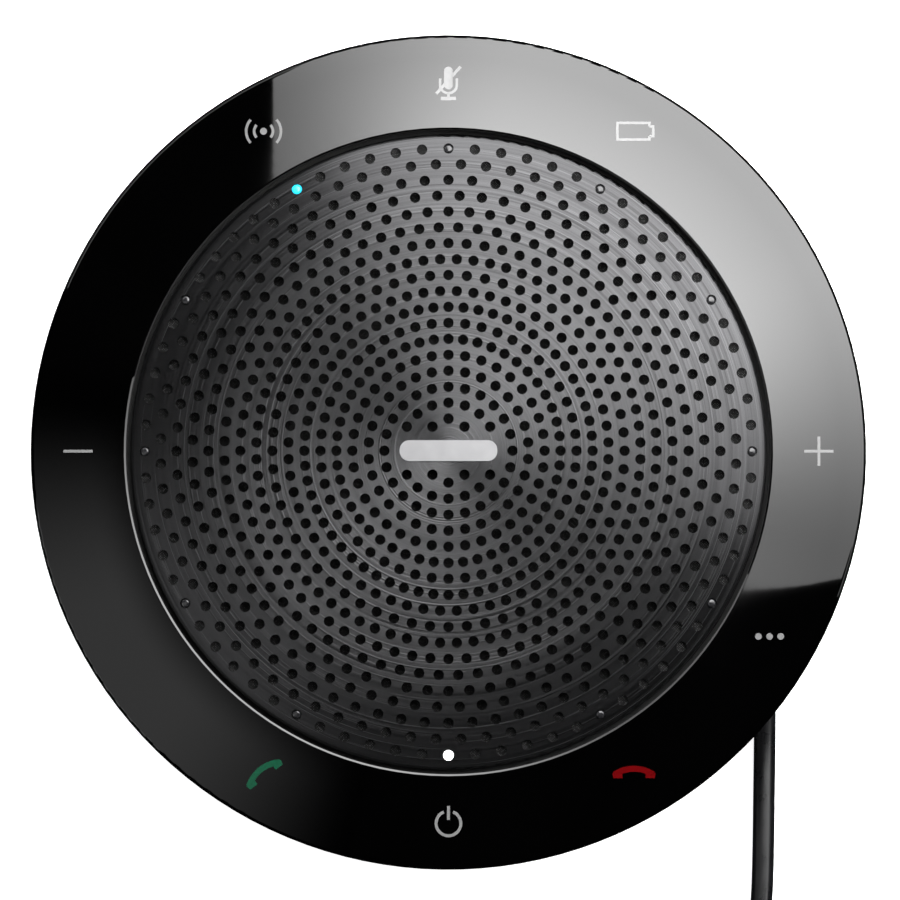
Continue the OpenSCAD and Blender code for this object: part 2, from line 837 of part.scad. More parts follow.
// Grommet in the core wall, a quarter-turn elbow and a tapering sleeve
module strain_relief() {
    color([0.05, 0.05, 0.05]) difference() {
        union() {
            intersection() {
                washer(core_r, core_r - wall, groove_z0, groove_z1);
                outlet_slot(0.1);
            }
            translate([outlet_x - elbow_bend, elbow_y, outlet_z])
                rotate_extrude(angle = 90, $fn = fine_fn)
                    translate([elbow_bend, 0]) circle(r = elbow_r, $fn = small_fn);
            translate([outlet_x, elbow_y, outlet_z]) rotate([90, 0, 0])
                cylinder(r1 = elbow_r, r2 = relief_end_r, h = relief_l, $fn = small_fn);
        }
        lead_tail_rod();
        // Flexing cuts on both sides of the sleeve
        for (i = [0 : 2], s = [-1, 1])
            translate([outlet_x + s * 2.3, elbow_y - 3.4 - 3 * i, outlet_z]) block(1.6, 1, -3, 3);
    }
}

// Inner end of the cord, from the elbow to its socket on the main board
module lead_tail() {
    color([0.15, 0.15, 0.15]) lead_tail_rod();
}

module lead_tail_rod() {
    tail_x = 35;
    translate([tail_x, elbow_y + elbow_bend, outlet_z]) rotate([0, 90, 0])
        cylinder(r = 1.2, h = outlet_x - elbow_bend - tail_x, $fn = small_fn);
}

// Direction of a route at point i, level across the cord and up from it
function route_step(route, i) =
    route[min(i + 1, len(route) - 1)] - route[max(i - 1, 0)];
function route_dir(route, i) = route_step(route, i) / norm(route_step(route, i));
function route_side(route, i) =
    cross(route_dir(route, i), [0, 0, 1]) / norm(cross(route_dir(route, i), [0, 0, 1]));

// One closed tube of the given radius swept along a route
module swept_tube(route, r, sides) {
    points = [
        for (i = [0 : len(route) - 1])
            let (side = route_side(route, i), up = cross(side, route_dir(route, i)))
                for (j = [0 : sides - 1])
                    route[i] + r * (cos((j + 0.5) * 360 / sides) * side
                        + sin((j + 0.5) * 360 / sides) * up)
    ];
    last = (len(route) - 1) * sides;
    walls = [
        for (i = [0 : len(route) - 2], j = [0 : sides - 1])
            let (a = i * sides + j, b = i * sides + (j + 1) % sides)
                each [[a, b, b + sides], [a, b + sides, a + sides]]
    ];
    ends = [
        [for (j = [sides - 1 : -1 : 0]) j],
        [for (j = [0 : sides - 1]) last + j]
    ];
    polyhedron(points = points, faces = concat(walls, ends));
}

module cord_lead() {
    color([0.05, 0.05, 0.05]) swept_tube(LEAD_ROUTE, cord_r, 8);
}

module cord_tail() {
    color([0.05, 0.05, 0.05]) swept_tube(TAIL_ROUTE, cord_r, 8);
}

module cord_coil() {
    color([0.05, 0.05, 0.05]) difference() {
        translate([coil_x, coil_y, 0]) rotate_extrude($fn = fine_fn) polygon([
            [coil_mid_r - coil_low_half, 0],
            [coil_mid_r + coil_low_half, 0],
            [coil_mid_r + coil_low_half, cord_r],
            [coil_mid_r + coil_high_half, coil_top_z],
            [coil_mid_r - coil_high_half, coil_top_z],
            [coil_mid_r - coil_low_half, cord_r]
        ]);
        tie_envelope(tie_t, tie_w);
        tail_notch();
    }
}

// Groove along the coil's rim where the cord lifts off towards the plug
module tail_notch() {
    translate([20, -111.8 - cord_d, 4.9 - cord_r]) mirror([1, 0, 0]) cube([20, cord_d * 1.6, 6]);
}

// The tied bundle's outline, t larger all round and standing on the table, w wide
module tie_envelope(t, w) {
    translate([coil_x, coil_y, 0]) rotate([0, 0, tie_angle]) translate([coil_mid_r, w / 2, 0])
        rotate([90, 0, 0]) linear_extrude(w) polygon([
            [-coil_low_half - t, 0], [coil_low_half + t, 0], [coil_low_half + t, cord_r + 2 * t],
            [coil_high_half + t, coil_top_z + 2 * t], [-coil_high_half - t, coil_top_z + 2 * t],
            [-coil_low_half - t, cord_r + 2 * t]
        ]);
}

// Strap round the bundle, which lifts the turns by its own thickness
module cord_tie() {
    color([0.1, 0.1, 0.1]) difference() {
        tie_envelope(tie_t, tie_w);
        translate([0, 0, tie_t]) tie_envelope(0, tie_w + 1);
    }
}

module plug_body() {
    color([0.06, 0.06, 0.06]) {
        difference() {
            translate([plug_x - plug_l, plug_y, plug_h / 2]) rotate([0, 90, 0])
                linear_extrude(plug_l) round_rect(plug_h, plug_w, 2);
            translate([plug_x - plug_l - cut, plug_y, plug_h / 2]) rotate([0, 90, 0])
                linear_extrude(4 + cut) round_rect(shell_h + 0.04, shell_w + 0.04, 0.5);
        }
        translate([plug_x - cut, plug_y, plug_h / 2]) rotate([0, 90, 0])
            cylinder(r1 = plug_neck_r + 0.6, r2 = plug_neck_r, h = plug_neck_l + cut, $fn = small_fn);
    }
}

module plug_shell() {
    color([0.8, 0.8, 0.82])
        translate([plug_x - plug_l - shell_l + 3.9, plug_y, plug_h / 2]) rotate([0, 90, 0])
            difference() {
                linear_extrude(shell_l) round_rect(shell_h, shell_w, 0.5);
                translate([0, 0, -cut]) linear_extrude(shell_l - 0.5 + cut)
                    round_rect(shell_h - 2 * shell_t, shell_w - 2 * shell_t, 0.3);
                // Two latch windows in the upper face
                for (s = [-1, 1]) translate([-shell_h / 2, s * 2.9, 4.6]) cube([2, 2.2, 2.2], center = true);
            }
}

module plug_tongue() {
    color([0.92, 0.92, 0.9])
        translate([plug_x - plug_l - shell_l + 5, plug_y - 5.5, plug_h / 2 - 1.9])
            cube([shell_l - 1.6, 11, 1.8]);
}

module plug_contacts() {
    color([0.85, 0.68, 0.3]) for (y = [-3.5, -1, 1, 3.5])
        translate([plug_x - plug_l - shell_l + 5.6, plug_y + y - 0.5, plug_h / 2 - 0.1])
            cube([7, 1, 0.15]);
}

control_ring();
grille();
badge();
acoustic_mesh();
light_pipes();
wireless_light_pipe();
power_light_pipe();
housing();
base_cover();
foot_ring();
baffle();
case_screws();
frame_screws();
ring_screws();
driver_screws();
board_screws();
driver_basket();
driver_top_plate();
driver_magnet();
driver_yoke();
voice_coil();
spider();
cone();
dust_cap();
surround();
driver_gasket();
mic_boot();
mic_capsule();
key_board();
switch_bodies();
status_leds();
key_plunger("key_mute");  // key_mute
key_plunger("key_battery");  // key_battery
key_plunger("key_volume_up");  // key_volume_up
key_plunger("key_shortcut");  // key_shortcut
key_plunger("key_end_call");  // key_end_call
key_plunger("key_power");  // key_power
key_plunger("key_answer");  // key_answer
key_plunger("key_volume_down");  // key_volume_down
key_plunger("key_wireless");  // key_wireless
key_ribbon();
main_board();
board_chips();
shield_can();
board_sockets();
battery_pack();
battery_leads();
speaker_leads();
headset_jack();
strain_relief();
lead_tail();
cord_lead();
cord_coil();
cord_tail();
cord_tie();
plug_body();
plug_shell();
plug_tongue();
plug_contacts();
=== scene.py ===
"""Looks of a round conference speakerphone: camera, cord, domed grille, printed key
symbols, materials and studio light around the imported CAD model. Metres, +Z up."""

import json
import math

import bmesh
import bpy
import numpy as np
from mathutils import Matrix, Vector

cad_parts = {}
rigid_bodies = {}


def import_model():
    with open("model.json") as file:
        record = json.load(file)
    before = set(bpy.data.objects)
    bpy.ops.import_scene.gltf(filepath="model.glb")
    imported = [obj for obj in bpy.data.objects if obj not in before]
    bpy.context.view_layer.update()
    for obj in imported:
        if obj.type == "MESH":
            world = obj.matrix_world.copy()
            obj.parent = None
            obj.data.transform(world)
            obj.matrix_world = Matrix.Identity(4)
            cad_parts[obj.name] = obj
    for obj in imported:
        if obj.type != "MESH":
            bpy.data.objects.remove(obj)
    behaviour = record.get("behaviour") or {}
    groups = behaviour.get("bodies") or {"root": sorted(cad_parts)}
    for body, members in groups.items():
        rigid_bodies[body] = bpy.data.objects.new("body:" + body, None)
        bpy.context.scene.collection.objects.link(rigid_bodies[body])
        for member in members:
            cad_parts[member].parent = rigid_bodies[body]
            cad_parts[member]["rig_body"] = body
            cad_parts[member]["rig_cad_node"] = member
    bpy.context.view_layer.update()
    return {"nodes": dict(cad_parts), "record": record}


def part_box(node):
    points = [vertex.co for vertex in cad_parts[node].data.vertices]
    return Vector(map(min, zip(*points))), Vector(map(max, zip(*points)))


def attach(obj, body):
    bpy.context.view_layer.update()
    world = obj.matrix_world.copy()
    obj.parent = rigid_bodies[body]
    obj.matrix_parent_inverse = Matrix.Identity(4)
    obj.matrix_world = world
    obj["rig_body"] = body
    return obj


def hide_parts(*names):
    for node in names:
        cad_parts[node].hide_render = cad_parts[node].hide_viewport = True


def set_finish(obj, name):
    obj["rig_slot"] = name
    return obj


MM = 0.001
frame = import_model()
NODES = frame["nodes"]

# ---------- Measures taken from the frame ----------


def tenths(length):
    """Rounded to 0.1 mm, because a round mesh may stop a little short of its true size."""
    return round(length / MM, 1) * MM


ring_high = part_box("control_ring")[1]
grille_low, grille_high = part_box("grille")
CASE_R = tenths(ring_high.x)
GRILLE_R = tenths(grille_high.x)
GRILLE_TOP = tenths(grille_high.z)
GRILLE_FOOT = tenths(grille_low.z)
CROWN_TOP = tenths(ring_high.z)
CROWN_AT_R = CASE_R - 9 * MM
CROWN_R = 110 * MM
GRILLE_GAP = 0.6 * MM
RING_R = GRILLE_R + GRILLE_GAP
KEY_R = (RING_R + CASE_R) / 2


def polar(r, degrees):
    """A point in the plane at that distance and angle."""
    return Vector((r * math.cos(math.radians(degrees)), r * math.sin(math.radians(degrees))))


def smooth(t):
    """Eases from 0 to 1 as t goes from 0 to 1."""
    t = min(1.0, max(0.0, t))
    return t * t * (3 - 2 * t)


def crown_height(r):
    """Height of the ring's upper face at radius r."""
    return CROWN_TOP - CROWN_R + math.sqrt(CROWN_R**2 - (r - CROWN_AT_R) ** 2)


# ---------- Camera ----------

LEAN = math.radians(2.5)
CAMERA_FAR = 1.2
VIEW_WIDTH = 129.4 * MM
LOOK_AT = Vector((0.22, 0.28, 28.5)) * MM
CAMERA_AT = LOOK_AT + CAMERA_FAR * Vector((0, -math.sin(LEAN), math.cos(LEAN)))


def make_camera():
    """A long lens almost straight above, leaning a little towards the power key."""
    data = bpy.data.cameras.new("camera")
    data.sensor_width = 36
    data.lens = data.sensor_width * CAMERA_FAR / VIEW_WIDTH
    data.clip_end = 20
    camera = bpy.data.objects.new("camera", data)
    bpy.context.scene.collection.objects.link(camera)
    camera.location = CAMERA_AT
    camera.rotation_mode = "QUATERNION"
    camera.rotation_quaternion = (LOOK_AT - CAMERA_AT).to_track_quat("-Z", "Y")
    bpy.context.scene.camera = camera


make_camera()

# ---------- Cord ----------

CORD_D = 3.2 * MM
# The routes repeat the CAD part's, in millimetres
LEAD_ROUTE = [
    (45.5, -6, 9.5), (45.5, -12, 8.6), (45.7, -18, 6.9), (46, -24, 5.9),
    (46.3, -30, 4.4), (46.4, -36, 2.6), (46.4, -42, 1.7), (46.3, -49, 1.6),
    (46.2, -56, 1.6), (46, -63, 1.6), (45.5, -70, 1.6), (44.9, -76, 1.6),
    (44.7, -81, 1.6),
]
TAIL_ROUTE = [
    (20, -111.8, 4.9), (15, -112, 5), (9, -112.3, 4.4), (3, -112.7, 3.4),
    (-2, -113, 3), (-6, -113, 3.4), (-9, -113, 3.7), (-11, -113, 3.7),
]
COIL_AT = Vector((22.4, -91)) * MM
COIL_LOW_Z = CORD_D / 2
OUTER_TURN_R = 22.4 * MM
LOW_TURNS = 4
INNER_TURN_R = OUTER_TURN_R - (LOW_TURNS - 1) * CORD_D
POINTS_PER_TURN = 48
# Shares of a turn: where each turn moves over to the next place, and where the
# cord has climbed on top of the lower layer and leaves it again
SHIFT_FROM = 0.62
SHIFT_OVER = 0.26
CLIMB_FROM = LOW_TURNS - 1 + SHIFT_FROM
CLIMB_TO = LOW_TURNS + 0.05
LAST_TURN = 6.25
TIE_TURN = 200 / 360
TIE_LIFT = 0.6 * MM


def shifts(t):
    """How many places the cord has moved over after t turns."""
    return math.floor(t) + smooth((t % 1 - SHIFT_FROM) / SHIFT_OVER)


def low_radius(t):
    return OUTER_TURN_R - CORD_D * shifts(t)


def coil_section(t):
    """Radius and height of the cord after t turns: in along the table, up, and out."""
    if t < CLIMB_FROM:
        return low_radius(t), COIL_LOW_Z
    if t < CLIMB_TO:
        a = math.radians(180 - 120 * smooth((t - CLIMB_FROM) / (CLIMB_TO - CLIMB_FROM)))
        under = max(low_radius(t - 1), INNER_TURN_R)
        return under + CORD_D * math.cos(a), COIL_LOW_Z + CORD_D * math.sin(a)
    r = INNER_TURN_R + CORD_D * (0.5 + shifts(t) - LOW_TURNS)
    rise = 0.0
    for turn in range(LOW_TURNS):
        off = abs(r - low_radius(turn + t % 1))
        if off < CORD_D:
            rise = max(rise, math.sqrt(CORD_D**2 - off**2))
    return r, COIL_LOW_Z + rise


def coil_points():
    """The coil's line, clockwise seen from above, from its right-hand side."""
    points = []
    for i in range(round(LAST_TURN * POINTS_PER_TURN) + 1):
        t = i / POINTS_PER_TURN
        r, z = coil_section(t)
        off_tie = abs((t - TIE_TURN + 0.5) % 1 - 0.5)
        lift = TIE_LIFT * smooth((0.13 - off_tie) / 0.07)
        points.append((COIL_AT + polar(r, -360 * t)).to_3d() + Vector((0, 0, z + lift)))
    return points


def through(points, step=1.5 * MM):
    """Points close together on a smooth line through the given ones."""
    line = []
    for i in range(len(points) - 1):
        before, a = points[max(i - 1, 0)], points[i]
        b, after = points[i + 1], points[min(i + 2, len(points) - 1)]
        count = max(1, round((b - a).length / step))
        for k in range(count):
            t = k / count
            line.append(
                0.5 * (2 * a + (b - before) * t
                       + (2 * before - 5 * a + 4 * b - after) * t**2
                       + (3 * a - before - 3 * b + after) * t**3)
            )
    return line + [points[-1]]


def make_cord():
    """One cord from the strain relief through its coil to the plug."""
    lead = [Vector(p) * MM for p in LEAD_ROUTE]
    tail = [Vector(p) * MM for p in TAIL_ROUTE]
    coil = coil_points()
    line = through(lead + coil[:1])[:-1] + coil + through(coil[-1:] + tail)[1:]
    data = bpy.data.curves.new("cord", "CURVE")
    data.dimensions = "3D"
    data.bevel_depth = CORD_D / 2
    data.bevel_resolution = 6
    data.use_fill_caps = True
    spline = data.splines.new("POLY")
    spline.points.add(len(line) - 1)
    for point, place in zip(spline.points, line):
        point.co = (*place, 1)
    curve = bpy.data.objects.new("cord_line", data)
    bpy.context.scene.collection.objects.link(curve)
    cord = bpy.data.objects.new("cord", bpy.data.meshes.new_from_object(curve))
    bpy.data.objects.remove(curve)
    bpy.context.scene.collection.objects.link(cord)
    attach(cord, "root")
    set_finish(cord, "cord_black")
    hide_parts("cord_lead", "cord_coil", "cord_tail")
    return cord


cord = make_cord()

# ---------- Polished ring and domed top ----------

RIM_R = 0.8 * MM
RIM_AT_R = CASE_R - RIM_R
RIM_AT_Z = CROWN_TOP - CROWN_R + math.sqrt((CROWN_R - RIM_R) ** 2 - (RIM_AT_R - CROWN_AT_R) ** 2)
SKIRT_ROUND = 0.5 * MM
BOW_R = 800 * MM
BEND_FROM = 30.5 * MM
BEND_R = 68 * MM


def copied(node):
    """A copy of a CAD node with a mesh of its own, its points and its corner normals."""
    source = NODES[node]
    piece = source.copy()
    mesh = piece.data = source.data.copy()
    piece.parent = None
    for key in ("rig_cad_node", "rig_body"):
        if key in piece:
            del piece[key]
    bpy.context.scene.collection.objects.link(piece)
    places = np.empty(len(mesh.vertices) * 3)
    mesh.vertices.foreach_get("co", places)
    normals = np.empty(len(mesh.loops) * 3)
    mesh.corner_normals.foreach_get("vector", normals)
    return piece, places.reshape(-1, 3), normals.reshape(-1, 3)


def corner_points(mesh):
    """The point that each corner of each face uses."""
    corners = np.empty(len(mesh.loops), np.int64)
    mesh.loops.foreach_get("vertex_index", corners)
    return corners


def true_round(mesh, places, normals, at_r, at_z, r, least=0.5):
    """Gives the corners on a turned round the normals of the true surface. A face that
    lies across it, by the cosine of the angle between them, keeps its own."""
    faces = np.empty(len(mesh.polygons) * 3)
    mesh.polygons.foreach_get("normal", faces)
    sizes = np.empty(len(mesh.polygons), np.int64)
    mesh.polygons.foreach_get("loop_total", sizes)
    faces = np.repeat(faces.reshape(-1, 3), sizes, axis=0)
    spots = places[corner_points(mesh)]
    off_axis = np.hypot(spots[:, 0], spots[:, 1])
    arms = np.stack([off_axis - at_r, spots[:, 2] - at_z], axis=1)
    reach = np.hypot(arms[:, 0], arms[:, 1])
    arms /= np.maximum(reach, 1e-9)[:, None]
    outward = spots[:, :2] / np.maximum(off_axis, 1e-9)[:, None]
    true = np.column_stack([outward * arms[:, :1], arms[:, 1]])
    on_it = (abs(reach - r) < 0.006 * MM) & ((faces * true).sum(axis=1) > least)
    on_it &= arms.min(axis=1) > -0.05
    normals[on_it] = true[on_it]


def finish_copy(piece, name, node, slot, normals):
    piece.data.normals_split_custom_set(normals.tolist())
    piece.name = name
    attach(piece, "root")
    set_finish(piece, slot)
    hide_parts(node)
    return piece


def polished_ring():
    """The control ring with the smooth normals of its rim and crown."""
    piece, places, normals = copied("control_ring")
    true_round(piece.data, places, normals, RIM_AT_R, RIM_AT_Z, RIM_R)
    true_round(piece.data, places, normals, CROWN_AT_R, CROWN_TOP - CROWN_R, CROWN_R, 0.95)
    return finish_copy(piece, "control_ring_polished", "control_ring", "gloss_black", normals)


def domed_copy(node, slot):
    """A copy of a CAD node whose sheet sinks towards its edge: on a wide arc all over,
    and on a closer one near the edge. The foot of the grille stays where it is, and the
    sheet's own height is shared out."""
    piece, places, normals = copied(node)
    mesh = piece.data
    if node == "grille":
        true_round(
            mesh, places, normals, GRILLE_R - SKIRT_ROUND, GRILLE_TOP - SKIRT_ROUND, SKIRT_ROUND
        )
    r = np.maximum(np.hypot(places[:, 0], places[:, 1]), 1e-9)
    over = np.clip(r - BEND_FROM, 0, None)
    bend_z = np.sqrt(BEND_R**2 - over**2)
    height = GRILLE_TOP - GRILLE_FOOT
    share = np.clip((places[:, 2] - GRILLE_FOOT) / height, 0, 1)
    drop = r**2 / (2 * BOW_R) + BEND_R - bend_z
    corners = corner_points(mesh)
    # A normal turns with the slope of the dome and the squeeze of the height
    slope = (-(r / BOW_R + over / bend_z) * share)[corners]
    squeeze = np.where(share > 0, 1 - drop / height, 1.0)[corners]
    outward = places[corners, :2] / r[corners, None]
    normals[:, :2] -= outward * (slope / squeeze * normals[:, 2])[:, None]
    normals[:, 2] /= squeeze
    normals /= np.linalg.norm(normals, axis=1)[:, None]
    places[:, 2] -= drop * share
    mesh.vertices.foreach_set("co", places.ravel())
    mesh.update()
    return finish_copy(piece, node + "_domed", node, slot, normals)


shaped = [
    polished_ring(),
    domed_copy("grille", "grille_metal"),
    domed_copy("acoustic_mesh", "mesh_cloth"),
    domed_copy("light_pipes", "light_clear"),
    domed_copy("wireless_light_pipe", "light_cyan"),
    domed_copy("power_light_pipe", "light_white"),
]

# ---------- Materials ----------


class Nodes:
    """A material that short calls add nodes to."""

    def __init__(self, name):
        self.material = bpy.data.materials.new(name)
        self.material.use_nodes = True
        self.tree = self.material.node_tree
        self.place = self.node("TexCoord").outputs["Object"]

    def node(self, kind, settings=None, **inputs):
        made = self.tree.nodes.new("ShaderNode" + kind)
        for key, value in (settings or {}).items():
            setattr(made, key, value)
        for key, value in inputs.items():
            socket = made.inputs[int(key[1:]) if key[0] == "i" and key[1:].isdigit() else key]
            if isinstance(value, bpy.types.NodeSocket):
                self.tree.links.new(value, socket)
            else:
                socket.default_value = value
        return made

    def maths(self, operation, a, b=0.0):
        return self.node("Math", {"operation": operation}, i0=a, i1=b).outputs[0]

    def noise(self, per_metre, detail=3.0, place=None):
        return self.node(
            "TexNoise", Vector=place or self.place, Scale=per_metre, Detail=detail
        ).outputs["Fac"]

    def spread(self, factor, low, high, start=0.25, end=0.75):
        """A value from low to high as the factor goes from start to end."""
        made = self.node("MapRange", Value=factor)
        for key, value in (("From Min", start), ("From Max", end), ("To Min", low), ("To Max", high)):
            made.inputs[key].default_value = value
        return made.outputs["Result"]

    def far_off(self, x, y):
        """Distance of (x, y) from the origin."""
        return self.maths(
            "SQRT", self.maths("ADD", self.maths("MULTIPLY", x, x), self.maths("MULTIPLY", y, y))
        )

    def smooth_spread(self, factor, low, high, start, end):
        """Like spread, but easing in and out."""
        value = self.spread(factor, low, high, start, end)
        value.node.interpolation_type = "SMOOTHSTEP"
        return value


class Finish(Nodes):
    """A Principled material with detail in its colour, roughness and height."""

    def __init__(self, name, colour, roughness, metallic=0.0, **sockets):
        super().__init__(name)
        self.shader = self.tree.nodes["Principled BSDF"]
        self.colour = colour
        self.roughness = roughness
        self.shader.inputs["Base Color"].default_value = (*colour, 1)
        self.shader.inputs["Roughness"].default_value = roughness
        self.shader.inputs["Metallic"].default_value = metallic
        for socket, value in sockets.items():
            self.shader.inputs[socket.replace("_", " ")].default_value = value

    def mottle(self, factor, amount=0.15):
        """Lets the colour drift to both sides of its own value."""
        mix = self.node("Mix", {"data_type": "RGBA"}, Factor=self.spread(factor, 0, 1))
        for index, share in ((6, 1 - amount), (7, 1 + amount)):
            mix.inputs[index].default_value = (*[c * share for c in self.colour], 1)
        self.tree.links.new(mix.outputs[2], self.shader.inputs["Base Color"])
        return self

    def rough(self, factor, amount):
        value = self.spread(factor, max(0.02, self.roughness - amount), self.roughness + amount)
        self.tree.links.new(value, self.shader.inputs["Roughness"])
        return self

    def bump(self, height, distance, strength=1.0):
        made = self.node("Bump", Height=height, Distance=distance, Strength=strength)
        self.tree.links.new(made.outputs["Normal"], self.shader.inputs["Normal"])
        return self

    def paler_convex_edges(self, amount):
        """Paler colour on convex edges, lighter the more convex the surface is."""
        # Convex edges are made paler in colour, by pointiness
        pointiness = self.node("NewGeometry").outputs["Pointiness"]
        edge = self.spread(pointiness, 0, amount, 0.51, 0.56)
        current = self.shader.inputs["Base Color"]
        source = current.links[0].from_socket if current.is_linked else None
        mix = self.node("Mix", {"data_type": "RGBA"}, Factor=edge)
        if source:
            self.tree.links.new(source, mix.inputs[6])
        else:
            mix.inputs[6].default_value = (*self.colour, 1)
        mix.inputs[7].default_value = (*[min(1, 2.2 * c + 0.03) for c in self.colour], 1)
        self.tree.links.new(mix.outputs[2], current)
        return self


def moulded(name, colour, roughness=0.5, grain=2600, depth=0.02):
    """Fine spark-textured plastic."""
    f = Finish(name, colour, roughness)
    fine = f.noise(grain, 2)
    return f.mottle(f.noise(60)).rough(f.noise(220), 0.07).bump(fine, depth * MM, 0.5).paler_convex_edges(0.3)


def glossy(name, colour, roughness=0.12):
    f = Finish(name, colour, roughness)
    return f.mottle(f.noise(150), 0.08).rough(f.noise(300), 0.04).bump(f.noise(90, 1), 0.01 * MM, 0.3)


def plated(name, colour, roughness=0.28):
    f = Finish(name, colour, roughness, 1.0)
    return f.mottle(f.noise(300), 0.06).rough(f.noise(700, 4), 0.09).bump(f.noise(1800, 2), 0.004 * MM, 0.4)


def rubbery(name, colour, roughness=0.62):
    f = Finish(name, colour, roughness)
    return f.mottle(f.noise(120), 0.12).rough(f.noise(500), 0.08).bump(f.noise(3500, 3), 0.02 * MM, 0.6)


def weave(f, pitch):
    """Height of a plain weave with that thread pitch, over and under by turns."""
    parts = f.node("SeparateXYZ", Vector=f.place)
    turn = 2 * math.pi / pitch
    across = f.maths("SINE", f.maths("MULTIPLY", parts.outputs["X"], turn))
    along = f.maths("SINE", f.maths("MULTIPLY", parts.outputs["Y"], turn))
    return f.maths("ABSOLUTE", f.maths("ADD", across, along))


def woven(name, colour, pitch, roughness=0.85, contrast=0.5):
    f = Finish(name, colour, roughness)
    height = weave(f, pitch)
    uneven = f.maths("MULTIPLY", height, f.spread(f.noise(1 / pitch / 3), 0.4, 1.0))
    f.mottle(f.maths("MULTIPLY", uneven, 0.6), contrast)
    return f.rough(f.noise(900), 0.05).bump(uneven, 0.2 * pitch, 0.8)


def cloth_with_painted_highlights():
    """Black cloth whose highest threads are painted paler: a painted highlight where they would catch a
    little light.
    """
    f = Finish("mesh_cloth", (0.04, 0.04, 0.04), 0.7, Specular_IOR_Level=0.08)
    height = weave(f, 0.36 * MM)
    threads = f.maths("MULTIPLY", height, f.spread(f.noise(5200, 1), 0.2, 1.0))
    # Painted highlight: the colour is raised on the highest threads
    f.mottle(f.spread(threads, 0.25, 0.75, 0.9, 1.3), 0.97)
    return f.rough(f.noise(900), 0.05).bump(threads, 0.05 * MM, 0.6)


def radius(f):
    """Distance of the point from the device's axis."""
    parts = f.node("SeparateXYZ", Vector=f.place)
    return f.far_off(parts.outputs["X"], parts.outputs["Y"])


def ring_gloss():
    """Deep black moulding with a polish that is slightly uneven."""
    f = Finish("ring_gloss", (0.0002, 0.0002, 0.00022), 0.022, IOR=1.5)
    smear = f.noise(45, 2)
    f.mottle(smear, 0.3)
    # The wall and ledge down in the gap round the grille are left matt
    edge = RING_R + 0.01 * MM
    matt = f.spread(radius(f), 0.85, 0.0, edge, edge + 0.02 * MM)
    value = f.maths("MAXIMUM", f.spread(smear, 0.016, 0.03), matt)
    f.tree.links.new(value, f.shader.inputs["Roughness"])
    return f.bump(f.noise(26, 0), 0.001 * MM, 0.1)


def spun_metal():
    """Dark sheet with fine lines turned round its centre."""
    f = Finish("spun_metal", (0.032, 0.032, 0.033), 0.25, 0.92, Anisotropic=0.65,
               Anisotropic_Rotation=0.25)
    parts = f.node("SeparateXYZ", Vector=f.place)
    x, y = parts.outputs["X"], parts.outputs["Y"]
    r = f.far_off(x, y)
    lines = []
    for per_metre, drift in ((5600, 22), (2900, 9)):
        place = f.node(
            "CombineXYZ", X=f.maths("MULTIPLY", r, per_metre),
            Y=f.maths("MULTIPLY", x, drift), Z=f.maths("MULTIPLY", y, drift),
        ).outputs["Vector"]
        lines.append(f.noise(1.0, 2, place))
    both = f.maths("ADD", f.maths("MULTIPLY", lines[0], 0.6), f.maths("MULTIPLY", lines[1], 0.4))
    f.mottle(both, 0.75)
    f.tree.links.new(f.spread(both, 0.19, 0.31), f.shader.inputs["Roughness"])
    tangent = f.node("Tangent", {"direction_type": "RADIAL", "axis": "Z"}).outputs["Tangent"]
    f.tree.links.new(tangent, f.shader.inputs["Tangent"])
    return f.bump(both, 0.05 * MM, 1.0)


def lit(name, colour, strength):
    """A light pipe that glows evenly."""
    f = Finish(name, colour, 0.25)
    f.mottle(f.noise(800), 0.05).rough(f.noise(900), 0.05)
    f.shader.inputs["Emission Color"].default_value = (*colour, 1)
    f.shader.inputs["Emission Strength"].default_value = strength
    return f


def circuit():
    """Solder mask over fine copper tracks."""
    f = Finish("circuit", (0.012, 0.10, 0.05), 0.3)
    tracks = f.node(
        "TexBrick", {"offset": 0.5}, Vector=f.place, Scale=260.0, i6=0.03,
    ).outputs["Fac"]
    return f.mottle(tracks, 0.35).rough(f.noise(400), 0.06).bump(tracks, 0.02 * MM, 0.5)


def wound(name, colour, pitch):
    """Turns of fine wire round the vertical axis."""
    f = Finish(name, colour, 0.3, 1.0)
    parts = f.node("SeparateXYZ", Vector=f.place)
    turns = f.maths("SINE", f.maths("MULTIPLY", parts.outputs["Z"], 2 * math.pi / pitch))
    return f.mottle(turns, 0.2).rough(f.noise(900), 0.05).bump(turns, 0.3 * pitch, 0.8)


def cord_sheath():
    """Satin sheath, with the faint unevenness of an extruded lead."""
    f = Finish("cord_sheath", (0.0025, 0.0025, 0.003), 0.3)
    f.mottle(f.noise(90), 0.2).rough(f.noise(260), 0.06)
    return f.bump(f.noise(420, 3), 0.03 * MM, 0.5)


